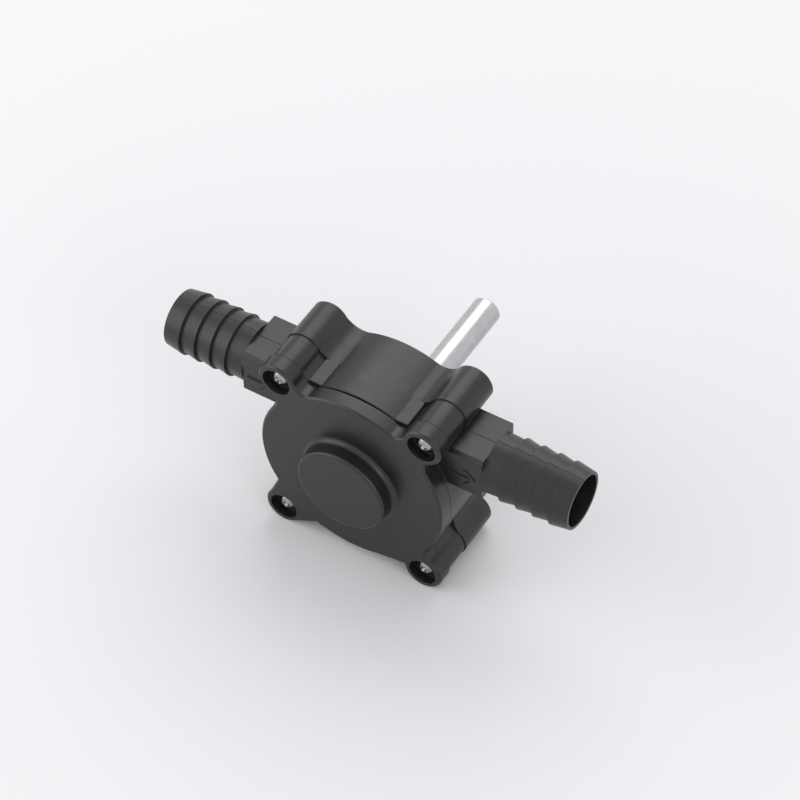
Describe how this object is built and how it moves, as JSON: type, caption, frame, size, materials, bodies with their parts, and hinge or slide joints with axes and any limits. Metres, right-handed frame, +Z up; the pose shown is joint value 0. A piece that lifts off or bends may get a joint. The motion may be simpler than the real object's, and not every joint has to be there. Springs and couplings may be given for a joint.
{
  "type": "drill powered pump",
  "caption": "Drill powered transfer pump: round black casing with barbed hose nozzles at its sides, a screwed front cover with a round boss, and a steel drive shank.",
  "frame": {"origin": "on the shaft axis, at the rear face of the hub", "axes": "+Y out along the drive shank, +X from the inlet nozzle to the outlet nozzle, +Z up towards the nozzles"},
  "size_m": [0.118, 0.0731, 0.0592],
  "materials": {
    "black_plastic": "semi-matte moulded",
    "bright_steel": "bright ground or plated",
    "dark_steel": "oiled spring steel",
    "brass": "turned",
    "bronze": "sintered",
    "rubber": "moulded, matte",
    "nylon": "natural"
  },
  "bodies": {
    "housing": {"casing": "black_plastic", "front_cover": "black_plastic", "cover_seal_ring": "rubber", "cover_screws": "bright_steel", "front_bush": "bronze", "front_thrust_washer": "nylon", "rear_thrust_washer": "nylon", "seal_case": "dark_steel", "seal_lip": "rubber", "seal_spring": "bright_steel", "bearing_outer_ring": "bright_steel", "bearing_front_shield": "dark_steel", "bearing_rear_shield": "dark_steel", "bearing_retaining_ring": "dark_steel"},
    "rotor": {"drive_shaft": "bright_steel", "impeller_key": "dark_steel", "impeller_insert": "brass", "impeller": "rubber", "bearing_inner_ring": "bright_steel", "shaft_circlip": "dark_steel"},
    "cage": {"bearing_cage": "nylon", "bearing_balls": "bright_steel"}
  },
  "joints": [
    {"name": "rotor_spin", "type": "hinge", "parent": "housing", "child": "rotor", "pos_m": [0, 0, 0], "axis": [0, -1, 0], "continuous": true, "deforming": ["impeller"]},
    {"name": "cage_spin", "type": "hinge", "parent": "housing", "child": "cage", "pos_m": [0, -0.0049, 0], "axis": [0, -1, 0], "continuous": true}
  ],
  "couplings": [
    {"joint": "cage_spin", "follows": "rotor_spin", "ratio": 0.3824}
  ]
}
